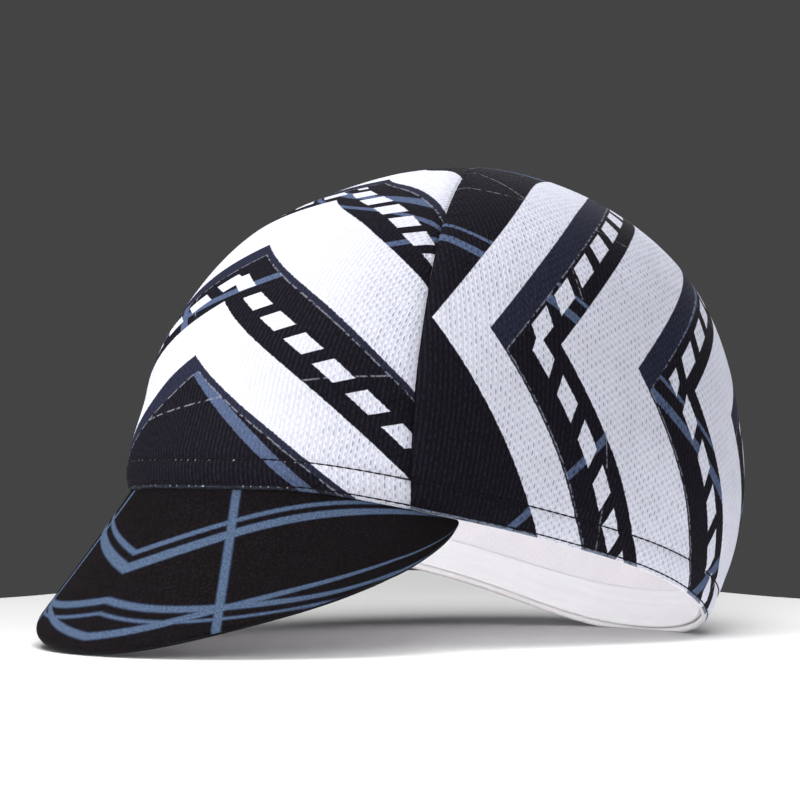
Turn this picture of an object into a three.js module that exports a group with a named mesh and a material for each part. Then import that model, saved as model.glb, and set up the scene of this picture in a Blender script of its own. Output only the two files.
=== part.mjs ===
// A soft cycling cap: a crown of three cloth panels, a short turned-down peak and a band inside the rim.
// It stands by itself on the front edge of its peak and on the back of its rim.
// Millimetres and degrees. +Z is up, the peak points towards -Y, and the wearer's left is +X.
import * as THREE from "three";

// Crown, measured in the cap's own frame, where the plane of the rim is level
const crownHeight = 124;
const crownFront = 110;
const crownRear = 86;
const crownHalfWidth = 80;
const crownTopShift = 2.7;
const planSquareness = 2.12;
const rimArch = 6.3;
const archFade = 1.5;

// Front of the rim: the peak spreads it outwards, and the wearer's left half of it rides up a little
const rimFlare = 7.8;
const flareHeight = 31;
const flareStart = 48;
const flareEnd = 88;
const rimLift = 1.9;
const rimLiftTurn = 32;
const rimLiftSpread = 18;

// Back of the rim, which hangs a little lower than its sides, and the wearer's right side of it,
// which rides up a little towards the back
const rearSag = 2.1;
const sideLift = 2.8;
const sideLiftTurn = -132;
const sideLiftSpread = 25;

// Shape of the crown from the rim to its top, one row for each level.
// rise is the angle up a round dome. The other columns say how far the wall stands out
// at the front, the side and the rear, as a share of that dome.
const CROWN_LEVELS = [
  { rise: 0, front: 0.92, side: 0.88, rear: 0.95 },
  { rise: 15, front: 1.04, side: 1.0, rear: 1.05 },
  { rise: 30, front: 1.06, side: 1.06, rear: 1.08 },
  { rise: 45, front: 1.05, side: 1.14, rear: 1.125 },
  { rise: 60, front: 0.99, side: 1.2, rear: 1.185 },
  { rise: 75, front: 1.0, side: 1.175, rear: 1.2 },
  { rise: 90, front: 1.045, side: 1.115, rear: 1.2 },
];

// Panels: where they meet on top, as a share of the way from the dome's middle to the front rim,
// and the turn from straight ahead of the seam between the front panel and each side panel,
// and of the seam at the middle of the back
const meetingShare = 0.19;
const seamRimAngle = 50.5;
const seamTopAngle = 39.5;
const backSeamAngle = 180;
const seamGap = 0.3;
const seamDip = 0.8;
const seamSpread = 2.4;
const seamDipEnd = 80;
const meetingHole = 1.2;
const clothWall = 1.3;

// Hem: the cloth folded up inside the rim and sewn down
const hemHeight = 9;
const hemWall = 1.9;
const hemStep = 1.5;

// Band inside the rim: it starts a little above the edge and ends above the hem's upper stitches
const bandWall = 1.2;
const bandRecess = 1.3;
const bandMargin = 4.3;

// Peak: a thin bent sheet that hangs from the rim
const peakHalfAngle = 57.5;
const peakLength = 56;
const peakEndLength = 3;
const peakRoundness = 0.55;
const peakWall = 2.4;
const peakSlope = 68.8;
const peakSideSlope = 54.7;
const peakForward = 0.49;
const peakEdge = 1.2;
const peakEdgeShare = 0.5;

// Clearance between pieces, and how far the weight presses the back of the rim flat on the floor
const clearance = 0.3;
const press = 1.8;

// Fineness of the meshes, and the share of a panel's columns that crowds towards its seams
const lowRows = 4;
const highRows = 9;
const frontColumns = 18;
const sideColumns = 22;
const bandColumns = 72;
const peakColumns = 24;
const seamCrowding = 0.4;

const slopeStep = 0.02;
const rad = THREE.MathUtils.degToRad;

// Natural cubic spline through a column of the level table
function levelSpline(column) {
  const count = CROWN_LEVELS.length;
  const rise = CROWN_LEVELS.map((level) => level.rise);
  const value = CROWN_LEVELS.map((level) => level[column]);
  const bend = new Array(count).fill(0);
  const share = new Array(count).fill(0);
  const carry = new Array(count).fill(0);
  for (let i = 1; i < count - 1; i += 1) {
    const before = rise[i] - rise[i - 1];
    const after = rise[i + 1] - rise[i];
    const pivot = 2 * (before + after) - before * share[i - 1];
    const change = (value[i + 1] - value[i]) / after - (value[i] - value[i - 1]) / before;
    share[i] = after / pivot;
    carry[i] = (6 * change - before * carry[i - 1]) / pivot;
  }
  for (let i = count - 2; i > 0; i -= 1) {
    bend[i] = carry[i] - share[i] * bend[i + 1];
  }
  return (angle) => {
    let i = 0;
    while (i < count - 2 && angle > rise[i + 1]) i += 1;
    const width = rise[i + 1] - rise[i];
    const high = (angle - rise[i]) / width;
    const low = 1 - high;
    const curve = (low ** 3 - low) * bend[i] + (high ** 3 - high) * bend[i + 1];
    return low * value[i] + high * value[i + 1] + (curve * width * width) / 6;
  };
}

const frontShare = levelSpline("front");
const sideShare = levelSpline("side");
const rearShare = levelSpline("rear");

// Outside of the crown over a point of a unit disc: across is to the wearer's left, ahead is forward
function crownPoint(across, ahead) {
  const reach = Math.min(Math.hypot(across, ahead), 1);
  const sine = reach > 0 ? across / Math.hypot(across, ahead) : 0;
  const cosine = reach > 0 ? ahead / Math.hypot(across, ahead) : 1;
  const rise = THREE.MathUtils.radToDeg(Math.acos(reach));
  const height = Math.sqrt(1 - reach * reach);
  const endShare = cosine > 0 ? frontShare(rise) : rearShare(rise);
  const stand = endShare * cosine ** 2 + sideShare(rise) * sine ** 2;
  const power = 2 / planSquareness;
  const length = cosine > 0 ? crownFront : crownRear;
  const x = crownHalfWidth * Math.sign(sine) * Math.abs(sine) ** power * reach * stand;
  const y = -length * Math.sign(cosine) * Math.abs(cosine) ** power * reach * stand - crownTopShift * height;
  const z = crownHeight * height + rimArch * sine ** 2 * (1 - height) ** archFade;
  const turn = THREE.MathUtils.radToDeg(Math.atan2(sine, cosine));
  const low = 1 - THREE.MathUtils.smoothstep(crownHeight * height, 0, flareHeight);
  const flare = rimFlare * low * (1 - THREE.MathUtils.smoothstep(Math.abs(turn), flareStart, flareEnd));
  const lift =
    rimLift * low * Math.exp(-(((turn - rimLiftTurn) / rimLiftSpread) ** 2)) +
    sideLift * low * Math.exp(-(((turn - sideLiftTurn) / sideLiftSpread) ** 2));
  const sag = rearSag * low * Math.max(-cosine, 0) ** 2;
  return new THREE.Vector3(x + flare * sine, y - flare * cosine, z + lift - sag);
}

// The same surface as a panel sees it: turn is the angle round from straight ahead, and row goes
// from 0 at the rim to 90 where the panels meet
function panelPoint(turn, row) {
  const spread = Math.cos(rad(row));
  const shift = meetingShare * (1 - spread) ** 2;
  const across = Math.sin(rad(turn)) * spread;
  const ahead = Math.cos(rad(turn)) * spread + shift;
  return crownPoint(across, ahead);
}

function panelNormal(turn, row) {
  const here = panelPoint(turn, row);
  const beside = panelPoint(turn + slopeStep, row).sub(panelPoint(turn - slopeStep, row));
  const above = panelPoint(turn, row + slopeStep).sub(here);
  return beside.cross(above).normalize();
}

// How many millimetres one degree of turn covers
function turnLength(turn, row) {
  return panelPoint(turn + 0.5, row).distanceTo(panelPoint(turn - 0.5, row));
}

function seamTurn(row) {
  return seamRimAngle + (seamTopAngle - seamRimAngle) * (row / 90);
}

function rowAtHeight(height) {
  return THREE.MathUtils.radToDeg(Math.asin(height / crownHeight));
}

function wallAt(row) {
  const height = crownHeight * Math.sin(rad(row));
  const fade = THREE.MathUtils.smoothstep(height, hemHeight, hemHeight + hemStep);
  return hemWall + (clothWall - hemWall) * fade;
}

// Heights that the hem and the band have in common
function hemHeights() {
  return [bandRecess, (bandRecess + hemHeight) / 2, hemHeight];
}

// Rows of every panel: over the hem, over the flare above it, and evenly up to the small hole
// that stays where the panels meet
function panelRowList() {
  const heights = [0, ...hemHeights(), hemHeight + hemStep];
  for (let i = 1; i <= lowRows; i += 1) {
    heights.push(THREE.MathUtils.lerp(hemHeight + hemStep, flareHeight, i / lowRows));
  }
  const rows = heights.map(rowAtHeight);
  const start = rowAtHeight(flareHeight);
  const end = 90 - THREE.MathUtils.radToDeg(meetingHole / crownHalfWidth);
  for (let i = 1; i <= highRows; i += 1) rows.push(THREE.MathUtils.lerp(start, end, i / highRows));
  return rows;
}

// Turns of one row between two seams, in shares that crowd towards each seam
function columnShares(columns) {
  const shares = [];
  for (let i = 0; i <= columns; i += 1) {
    const even = i / columns;
    const crowded = 0.5 - 0.5 * Math.cos(Math.PI * even);
    shares.push((1 - seamCrowding) * even + seamCrowding * crowded);
  }
  return shares;
}

// A point of the cloth at some depth under its outside. The cloth is drawn in along its seams,
// from the top of the band almost to the place where the panels meet.
function shellPoint(turn, row, seams, depth) {
  const point = panelPoint(turn, row);
  const normal = panelNormal(turn, row);
  let dip = 0;
  for (const seam of seams) {
    const away = Math.abs(turn - seam) * turnLength(turn, row);
    dip = Math.max(dip, seamDip * Math.exp(-((away / seamSpread) ** 2)));
  }
  const bandTop = rowAtHeight(hemHeight + bandMargin);
  const hemFade = THREE.MathUtils.smoothstep(row, bandTop, 2 * bandTop);
  const topFade = 1 - THREE.MathUtils.smoothstep(row, seamDipEnd, 90);
  return point.addScaledVector(normal, -dip * hemFade * topFade - depth);
}

// Outer and inner grids of one panel between two seams given as functions of the row
function panelGrids(fromSeam, toSeam, columns) {
  const outer = [];
  const inner = [];
  for (const row of panelRowList()) {
    const from = fromSeam(row);
    const to = toSeam(row);
    const low = from + seamGap / 2 / turnLength(from, row);
    const high = to - seamGap / 2 / turnLength(to, row);
    const turns = columnShares(columns).map((share) => low + (high - low) * share);
    outer.push(turns.map((turn) => shellPoint(turn, row, [from, to], 0)));
    inner.push(turns.map((turn) => shellPoint(turn, row, [from, to], wallAt(row))));
  }
  return { outer, inner };
}

// A closed body between two grids of points. A ringed grid joins its last column to its first.
function shellGeometry(grids, ringed) {
  const rows = grids.outer.length;
  const columns = grids.outer[0].length;
  const positions = [];
  for (const grid of [grids.outer, grids.inner]) {
    for (const line of grid) {
      for (const point of line) positions.push(point.x, point.y, point.z);
    }
  }
  const place = (side, i, j) => side * rows * columns + i * columns + (j % columns);
  const index = [];
  const quad = (a, b, c, d) => index.push(a, b, c, a, c, d);
  const spans = ringed ? columns : columns - 1;
  for (let i = 0; i < rows - 1; i += 1) {
    for (let j = 0; j < spans; j += 1) {
      quad(place(0, i, j), place(0, i, j + 1), place(0, i + 1, j + 1), place(0, i + 1, j));
      quad(place(1, i, j), place(1, i + 1, j), place(1, i + 1, j + 1), place(1, i, j + 1));
    }
  }
  for (let j = 0; j < spans; j += 1) {
    quad(place(0, 0, j), place(1, 0, j), place(1, 0, j + 1), place(0, 0, j + 1));
    const top = rows - 1;
    quad(place(0, top, j), place(0, top, j + 1), place(1, top, j + 1), place(1, top, j));
  }
  if (!ringed) {
    const last = columns - 1;
    for (let i = 0; i < rows - 1; i += 1) {
      quad(place(0, i, 0), place(0, i + 1, 0), place(1, i + 1, 0), place(1, i, 0));
      quad(place(0, i, last), place(1, i, last), place(1, i + 1, last), place(0, i + 1, last));
    }
  }
  const geometry = new THREE.BufferGeometry();
  geometry.setAttribute("position", new THREE.Float32BufferAttribute(positions, 3));
  geometry.setIndex(index);
  return geometry;
}

// Outer and inner grids of the band, a closed ring inside the hem
function bandGrids() {
  const outer = [];
  const inner = [];
  for (const height of [...hemHeights(), hemHeight + bandMargin]) {
    const row = rowAtHeight(height);
    const outerLine = [];
    const innerLine = [];
    for (let j = 0; j < bandColumns; j += 1) {
      const turn = (360 * j) / bandColumns;
      outerLine.push(shellPoint(turn, row, [], hemWall + clearance));
      innerLine.push(shellPoint(turn, row, [], hemWall + clearance + bandWall));
    }
    outer.push(outerLine);
    inner.push(innerLine);
  }
  return { outer, inner };
}

// Top of the peak: side runs from -1 to 1 along the rim, out from 0 at the rim to 1 at the edge
function peakPoint(side, out) {
  const turn = peakHalfAngle * side;
  const rim = panelPoint(turn, 0);
  const along = panelPoint(turn + slopeStep, 0).sub(panelPoint(turn - slopeStep, 0));
  const away = new THREE.Vector3(along.y, -along.x, 0).normalize();
  away.multiplyScalar(1 - peakForward).add(new THREE.Vector3(0, -peakForward, 0)).normalize();
  const slope = rad(peakSlope + (peakSideSlope - peakSlope) * side * side);
  const length = peakEndLength + (peakLength - peakEndLength) * (1 - side * side) ** peakRoundness;
  const point = rim.clone().addScaledVector(away, length * out * Math.cos(slope));
  point.z -= length * out * Math.sin(slope);
  return point;
}

function peakNormal(side, out) {
  const inside = Math.max(-1 + slopeStep, Math.min(1 - slopeStep, side));
  const across = peakPoint(inside + slopeStep, out).sub(peakPoint(inside - slopeStep, out));
  const outward = peakPoint(inside, out + slopeStep).sub(peakPoint(inside, out));
  return outward.cross(across).normalize();
}

// Upper and lower grids of the peak, from its edge back to the rim. The sheet thins at its edge.
function peakGrids() {
  const outs = [1, 1 - peakEdge / peakLength, 0.75, 0.5, 0.25, 0];
  const outer = [];
  const inner = [];
  for (const out of outs) {
    const outerLine = [];
    const innerLine = [];
    for (let j = 0; j <= peakColumns; j += 1) {
      const side = Math.sin(rad(90) * ((2 * j) / peakColumns - 1));
      const normal = peakNormal(side, out);
      const rimmed = out === 1 || j === 0 || j === peakColumns;
      const half = (peakWall / 2) * (rimmed ? peakEdgeShare : 1);
      const middle = peakPoint(side, out).addScaledVector(normal, -peakWall / 2);
      middle.z -= clearance;
      outerLine.push(middle.clone().addScaledVector(normal, half));
      innerLine.push(middle.clone().addScaledVector(normal, -half));
    }
    outer.push(outerLine);
    inner.push(innerLine);
  }
  return { outer, inner };
}

function cloth(name, color, roughness, geometry) {
  const material = new THREE.MeshStandardMaterial({ color, roughness, metalness: 0 });
  const mesh = new THREE.Mesh(geometry, material);
  mesh.name = name;
  return mesh;
}

// Lowest point of some geometry once the cap is tipped back by an angle
function lowest(geometry, angle) {
  const turned = geometry.clone().applyMatrix4(new THREE.Matrix4().makeRotationX(-rad(angle)));
  turned.computeBoundingBox();
  return turned.boundingBox.min.z;
}

// The angle at which the peak's edge and the pressed back of the rim stand on one floor
function restAngle(peakGeometry, panelGeometry) {
  let low = 0;
  let high = 40;
  for (let i = 0; i < 40; i += 1) {
    const angle = (low + high) / 2;
    const peakLow = lowest(peakGeometry, angle);
    const rimLow = lowest(panelGeometry, angle) + press;
    if (peakLow < rimLow) low = angle;
    else high = angle;
  }
  return (low + high) / 2;
}

// Tips a body to the resting angle, lowers it to the floor and flattens what would go through it
function rest(geometry, angle, floor) {
  geometry.applyMatrix4(new THREE.Matrix4().makeRotationX(-rad(angle)));
  const position = geometry.attributes.position;
  for (let i = 0; i < position.count; i += 1) {
    position.setZ(i, Math.max(position.getZ(i) - floor, 0));
  }
}

const frontSeamRight = (row) => -seamTurn(row);
const backSeam = () => backSeamAngle;
const backSeamRight = () => -backSeamAngle;

const panels = {
  front_panel: shellGeometry(panelGrids(frontSeamRight, seamTurn, frontColumns), false),
  side_panel_left: shellGeometry(panelGrids(seamTurn, backSeam, sideColumns), false),
  side_panel_right: shellGeometry(panelGrids(backSeamRight, frontSeamRight, sideColumns), false),
};
const peak = shellGeometry(peakGrids(), false);
const sweatband = shellGeometry(bandGrids(), true);

const angle = restAngle(peak, panels.side_panel_left);
const floor = lowest(peak, angle);

const cap = new THREE.Group();
for (const [name, geometry] of Object.entries(panels)) {
  cap.add(cloth(name, 0x24222b, 0.85, geometry));
}
cap.add(cloth("peak", 0x1d1c22, 0.8, peak));
cap.add(cloth("sweatband", 0xe6e3ea, 0.9, sweatband));
for (const mesh of cap.children) rest(mesh.geometry, angle, floor);

const box = new THREE.Box3().setFromObject(cap);
const middle = box.getCenter(new THREE.Vector3());
cap.position.set(-middle.x, -middle.y, -box.min.z);

export default cap;
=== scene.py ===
"""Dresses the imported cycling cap: printed knit panels, hem stitches, peak cover, band, light and camera.

Lengths named in millimetres are turned into metres where a mesh is made. The peak points towards -Y and
the wearer's left is +X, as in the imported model.
"""
import math

import bpy
import numpy as np
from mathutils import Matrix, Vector


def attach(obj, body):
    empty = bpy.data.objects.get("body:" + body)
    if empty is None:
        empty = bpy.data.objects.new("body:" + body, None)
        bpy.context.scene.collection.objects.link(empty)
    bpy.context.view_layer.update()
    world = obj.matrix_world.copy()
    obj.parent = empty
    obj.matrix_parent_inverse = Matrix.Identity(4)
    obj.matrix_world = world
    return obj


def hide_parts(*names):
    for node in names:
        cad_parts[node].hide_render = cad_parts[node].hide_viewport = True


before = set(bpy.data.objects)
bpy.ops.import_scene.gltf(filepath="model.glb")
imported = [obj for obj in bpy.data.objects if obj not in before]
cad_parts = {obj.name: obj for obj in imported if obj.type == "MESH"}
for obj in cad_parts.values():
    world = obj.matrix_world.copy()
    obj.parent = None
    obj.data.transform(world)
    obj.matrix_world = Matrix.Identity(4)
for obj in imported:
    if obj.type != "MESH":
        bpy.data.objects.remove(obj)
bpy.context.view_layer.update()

bl_info = {
    "name": "Cycling cap",
    "version": (1, 0, 0),
    "blender": (4, 5, 0),
    "location": "3D view, sidebar, Cap",
    "description": "Builds the cloth, stitches and peak of a soft cycling cap around its packed solids",
    "category": "Object",
}

MM = 0.001
SHARP_ANGLE = 60.0

# Crown, as the solids have it, measured with the plane of the rim level
CROWN_HEIGHT = 124.0
CROWN_FRONT = 110.0
CROWN_REAR = 86.0
CROWN_HALF_WIDTH = 80.0
CROWN_TOP_SHIFT = 2.7
PLAN_SQUARENESS = 2.12
RIM_ARCH = 6.3
ARCH_FADE = 1.5

# Front of the rim: the peak spreads it outwards, and its wearer's left half rides up a little
RIM_FLARE = 7.8
FLARE_HEIGHT = 31.0
FLARE_START = 48.0
FLARE_END = 88.0
RIM_LIFT = 1.9
RIM_LIFT_TURN = 32.0
RIM_LIFT_SPREAD = 18.0

# Back of the rim, and the wearer's right side of it
REAR_SAG = 2.1
SIDE_LIFT = 2.8
SIDE_LIFT_TURN = -132.0
SIDE_LIFT_SPREAD = 25.0

# How far the wall stands out at each angle up a round dome: at the front, the side and the rear
LEVEL_RISE = [0, 15, 30, 45, 60, 75, 90]
LEVELS = {
    "front": [0.92, 1.04, 1.06, 1.05, 0.99, 1.0, 1.045],
    "side": [0.88, 1.0, 1.06, 1.14, 1.2, 1.175, 1.115],
    "rear": [0.95, 1.05, 1.08, 1.125, 1.185, 1.2, 1.2],
}

# Panels and their seams
MEETING_SHARE = 0.19
SEAM_RIM_ANGLE = 50.5
SEAM_TOP_ANGLE = 39.5
BACK_SEAM_ANGLE = 180.0
SEAM_DIP = 0.8
SEAM_SPREAD = 2.4
SEAM_DIP_END = 80.0
SEAM_CURL = 0.5
SEAM_RIDGE = 0.45
PUCKER_DEPTH = 0.10
PUCKER_LENGTH = 5.3
PUCKER_SPREAD = 4.5
COLUMN_CROWDING = 0.75

# Where across a panel its knit runs straight up, as a share of its width, and how far the knit lines of
# the front panel are drawn together above the hem
FRONT_GRAIN = 0.5
SIDE_GRAIN = 0.28
FRONT_DRAW_IN = 0.4
MOST_DRAWN_IN = 1.5

# Walls, hem and band
CLOTH_WALL = 1.3
HEM_HEIGHT = 9.0
HEM_WALL = 1.9
HEM_STEP = 1.5
HEM_ROW_STEP = 0.55
HEM_ROWS_OVER = 5.0
PANEL_ROWS = 86
TOP_OPENING = 0.25
FOLD_STEPS = 10
BAND_WALL = 1.2
BAND_ROWS = 22
BAND_CROWDING = 0.6
BAND_EASE = 0.14
BAND_ROUNDING = 0.6
BAND_RECESS = 1.3
BAND_MARGIN = 4.3
CLEARANCE = 0.3

# Relief of the hem: how deep and how broadly each row of stitches draws it in, the puff between the rows,
# the swell above them and the fine ribs
UPPER_DRAW = 0.34
UPPER_DRAW_SPREAD = 0.75
LOWER_DRAW = 0.26
LOWER_DRAW_SPREAD = 0.5
HEM_PUFF = 0.30
SWELL = 0.16
SWELL_RISE = 2.2
SWELL_SPREAD = 1.7
HEM_RIB = 0.06
HEM_RIB_LENGTH = 3.1

# Threads
ROW_SAMPLES = 1200
STITCH_POINTS = 7
STITCH_LAP = 0.05
THREAD_SIDES = 6
THREAD_TAPER = 0.12

# Peak
PEAK_HALF_ANGLE = 57.5
PEAK_LENGTH = 56.0
PEAK_END_LENGTH = 3.0
PEAK_ROUNDNESS = 0.55
PEAK_WALL = 2.4
PEAK_SLOPE = 68.8
PEAK_SIDE_SLOPE = 54.7
PEAK_FORWARD = 0.49
PEAK_ROWS = 44
EDGE_ROWS = [0.0, 0.12, 0.3, 0.55, 0.85]
UNDER_MAP = 200.0
ROOT_GAP = 0.08
ROOT_TAB = 3.0
ROOT_WALL = 1.0
PEAK_BOW = 0.06
COVER_TAIL = 0.032
CORNER_START = 0.9
CORNER_POINT = 0.7

# How the cap stands: tipped back about X, then moved onto the floor and over the origin
TIP_ANGLE = 14.1699
FLOOR_DROP = 20.236
PLACE_Y = 22.436
SOFT_CONTACT = 0.25

# The photograph's view, fitted to the solids
VIEW_AZIMUTH = 51.5
VIEW_ELEVATION = 0.1
VIEW_DISTANCE = 1.26
VIEW_LENS = 187.2
VIEW_SENSOR = 36.0
VIEW_SIDEWAYS = 0.00137
VIEW_HEIGHT = 0.07291

# Prints of the crown, in millimetres on the cloth: the chevrons' middle line and the angle of their arms,
# how far their drop shadows are moved along them, bars and rows of blocks by their distance from the point,
# and straight stripes by their slant, place and half width. After them comes where the printed face starts
# over the fold, how worn the fold and how plain the needle holes are, and how far aside openings show.
SIDE_DESIGN = {
    "name": "side_print_knit",
    "points_up": False,
    "chevron": (58.0, 36.0),
    "shadow_shift": 5.5,
    "bars": [(-36.0, 7.0), (1.0, 11.5), (43.0, 10.0), (82.0, 8.0)],
    "block_rows": [-18.0, 25.5, 65.0],
    "stripes": [
        (62.0, 56.0, 1.5), (62.0, 62.5, 0.7), (62.0, 132.0, 2.2), (-38.0, -18.0, 1.2), (-38.0, 48.0, 1.8),
    ],
    "hairlines": [(-38.0, 54.5, 0.2), (71.0, 102.0, 0.2), (12.0, 11.0, 0.2)],
    "face_start": 0.15,
    "worn": 0.75,
    "holes_seen": 0.06,
    "open_middle": 0.0,
    "open_reach": 42.0,
}
FRONT_DESIGN = {
    "name": "front_print_knit",
    "points_up": True,
    "chevron": (0.0, 33.0),
    "shadow_shift": -4.0,
    "bars": [(-118.0, 6.0), (-82.0, 12.0), (-42.0, 8.0)],
    "block_rows": [-102.0, -58.0],
    "stripes": [(74.0, 112.0, 1.6), (74.0, 104.5, 0.8), (112.0, 58.0, 1.3), (52.0, 30.0, 1.7)],
    "hairlines": [(52.0, 35.5, 0.2), (101.0, 24.0, 0.2)],
    "face_start": -2.5,
    "worn": 0.1,
    "holes_seen": 0.7,
    "open_middle": 76.0,
    "open_reach": 14.0,
}
SHADOW_DROP = 5.0
BLOCK_LEAN = 0.75
BLOCK_HALF_WIDTH = 2.6
BLOCK_LENGTH = 9.0
BLOCK_GAP = 5.0

# Stripes of the peak: how much they slant, how far from its root they lie, and their half width. The ray's
# distance is from the middle of the peak.
PEAK_STRIPES = [
    (0.34, 22.0, 1.1), (0.34, 27.5, 2.0), (-0.16, 38.5, 1.3), (-0.16, 43.0, 0.7), (0.1, 51.0, 1.4),
]
PEAK_RAY = (0.42, 26.0, 1.5)

# Knit: half the width of an opening, where openings close aside and overhead, and the height of a course
OPENING_HALF_WIDTH = 0.25
CLOSING_ASIDE = 30.0
CLOSING_HEIGHT = 100.0
CLOSING_OVERHEAD = 35.0
COURSE_HEIGHT = 0.62
WEAVE_THREAD = 0.42

# Depth of each cloth's relief in metres, and how its surface takes light
RELIEF = {"knit": 0.00022, "reverse": 0.00012, "peak": 0.00009, "band": 0.0001, "thread": 0.00005}
SURFACES = {
    "knit": {"Roughness": 0.8, "Specular IOR Level": 0.05, "Sheen Weight": 0.006, "Sheen Roughness": 0.4},
    "reverse": {"Roughness": 0.9, "Specular IOR Level": 0.2, "Sheen Weight": 0.1},
    "peak": {"Roughness": 0.66, "Specular IOR Level": 0.05, "Sheen Weight": 0.004},
    "band": {"Roughness": 0.92, "Specular IOR Level": 0.18, "Sheen Weight": 0.12},
    "thread": {"Roughness": 0.7, "Specular IOR Level": 0.12},
}

# Soft lights round the cap: how far right, towards the camera and up they stand, their distance, their
# width, and their share of the light's power
CAP_LIGHTS = (
    ("front_light", (-0.95, 0.45, 0.55), 1.5, 0.9, 1.0),
    ("top_light", (0.0, 0.1, 1.0), 1.4, 1.2, 0.64),
    ("rear_light", (0.35, -0.9, 0.55), 1.6, 1.1, 0.45),
)
SIDE_LIGHT = ("rear_side_light", (1.0, 0.3, 0.45), 1.6, 1.0, 0.25)
SIDE_LIGHT_COLOUR = (0.93, 0.95, 1.0)
FLOOR_LIGHTS = (
    ("floor_light_high", (0.0, 0.75, 1.0), 1.7, 1.2, 1.0),
    ("floor_light_low", (0.0, 1.0, 0.27), 1.7, 0.6, 0.65),
)
HOLLOW_MIDDLE = (0.0, 0.02, 0.035)
HOLLOW_LIGHT_SIZE = (0.10, 0.03)
HOLLOW_LIGHT_AWAY = 0.03
HOLLOW_LIGHT_DROP = 0.3
FLOOR_POINTS = 360
FLOOR_BUMP_WIDTH = 13.0
FLOOR_COLOUR = (0.45, 0.45, 0.45, 1.0)
FLOOR_ROUGHNESS = 0.75

# Small steps, in degrees or in shares of the peak, over which slopes are taken
SLOPE_STEP = 0.02


# Shape of the crown and the peak

def smooth_step(value, low, high):
    share = np.clip((value - low) / (high - low), 0.0, 1.0)
    return share * share * (3.0 - 2.0 * share)


def bell(distance, spread):
    """1 at a distance of 0, fading smoothly on both sides."""
    return np.exp(-((distance / spread) ** 2))


def level_bends(values):
    """Second derivatives of the natural cubic spline through one column of the level table."""
    count = len(LEVEL_RISE)
    bend = np.zeros(count)
    share = np.zeros(count)
    carry = np.zeros(count)
    for i in range(1, count - 1):
        before = LEVEL_RISE[i] - LEVEL_RISE[i - 1]
        after = LEVEL_RISE[i + 1] - LEVEL_RISE[i]
        pivot = 2.0 * (before + after) - before * share[i - 1]
        change = (values[i + 1] - values[i]) / after - (values[i] - values[i - 1]) / before
        share[i] = after / pivot
        carry[i] = (6.0 * change - before * carry[i - 1]) / pivot
    for i in range(count - 2, 0, -1):
        bend[i] = carry[i] - share[i] * bend[i + 1]
    return bend


BENDS = {place: level_bends(values) for place, values in LEVELS.items()}


def level_share(column, rise):
    """How far the wall stands out at this rise, from the smooth curve through one column of the table."""
    values = np.array(LEVELS[column])
    bend = BENDS[column]
    rises = np.array(LEVEL_RISE, float)
    place = np.clip(np.searchsorted(rises, rise, side="left") - 1, 0, len(rises) - 2)
    width = rises[place + 1] - rises[place]
    high = (rise - rises[place]) / width
    low = 1.0 - high
    curve = (low**3 - low) * bend[place] + (high**3 - high) * bend[place + 1]
    return low * values[place] + high * values[place + 1] + curve * width * width / 6.0


def crown_point(across, ahead):
    """Outside of the crown over a point of a unit disc: across is to the wearer's left."""
    length = np.hypot(across, ahead)
    reach = np.minimum(length, 1.0)
    safe = np.maximum(length, 1e-9)
    sine = across / safe
    cosine = ahead / safe
    rise = np.degrees(np.arccos(reach))
    height = np.sqrt(np.maximum(1.0 - reach * reach, 0.0))
    ends = np.where(cosine > 0, level_share("front", rise), level_share("rear", rise))
    stand = ends * cosine**2 + level_share("side", rise) * sine**2
    power = 2.0 / PLAN_SQUARENESS
    half = np.where(cosine > 0, CROWN_FRONT, CROWN_REAR)
    x = CROWN_HALF_WIDTH * np.sign(sine) * np.abs(sine) ** power * reach * stand
    y = -half * np.sign(cosine) * np.abs(cosine) ** power * reach * stand - CROWN_TOP_SHIFT * height
    z = CROWN_HEIGHT * height + RIM_ARCH * sine**2 * (1.0 - height) ** ARCH_FADE
    turn = np.degrees(np.arctan2(sine, cosine))
    low = 1.0 - smooth_step(CROWN_HEIGHT * height, 0.0, FLARE_HEIGHT)
    flare = RIM_FLARE * low * (1.0 - smooth_step(np.abs(turn), FLARE_START, FLARE_END))
    lift = RIM_LIFT * low * bell(turn - RIM_LIFT_TURN, RIM_LIFT_SPREAD)
    lift = lift + SIDE_LIFT * low * bell(turn - SIDE_LIFT_TURN, SIDE_LIFT_SPREAD)
    sag = REAR_SAG * low * np.maximum(-cosine, 0.0) ** 2
    return np.stack([x + flare * sine, y - flare * cosine, z + lift - sag], axis=-1)


def panel_point(turn, row):
    """The crown as a panel sees it: row goes from 0 at the rim to 90 where the panels meet."""
    spread = np.cos(np.radians(row))
    shift = MEETING_SHARE * (1.0 - spread) ** 2
    across = np.sin(np.radians(turn)) * spread
    ahead = np.cos(np.radians(turn)) * spread + shift
    return crown_point(across, ahead)


def unit(vectors):
    return vectors / np.maximum(np.linalg.norm(vectors, axis=-1, keepdims=True), 1e-12)


def panel_axes(turn, row):
    """Outward normal and upward tangent of the crown."""
    beside = panel_point(turn + SLOPE_STEP, row) - panel_point(turn - SLOPE_STEP, row)
    above = panel_point(turn, row + SLOPE_STEP) - panel_point(turn, row)
    return unit(np.cross(beside, above)), unit(above)


def turn_length(turn, row):
    """Millimetres that one degree of turn covers."""
    return np.linalg.norm(panel_point(turn + 0.5, row) - panel_point(turn - 0.5, row), axis=-1)


def seam_turn(row):
    """Turn of the seam at the wearer's left."""
    return SEAM_RIM_ANGLE + (SEAM_TOP_ANGLE - SEAM_RIM_ANGLE) * (row / 90.0)


def right_seam_turn(row):
    return -seam_turn(row)


def back_seam_turn(row):
    return np.full_like(row, BACK_SEAM_ANGLE)


def right_back_seam_turn(row):
    return -back_seam_turn(row)


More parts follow.
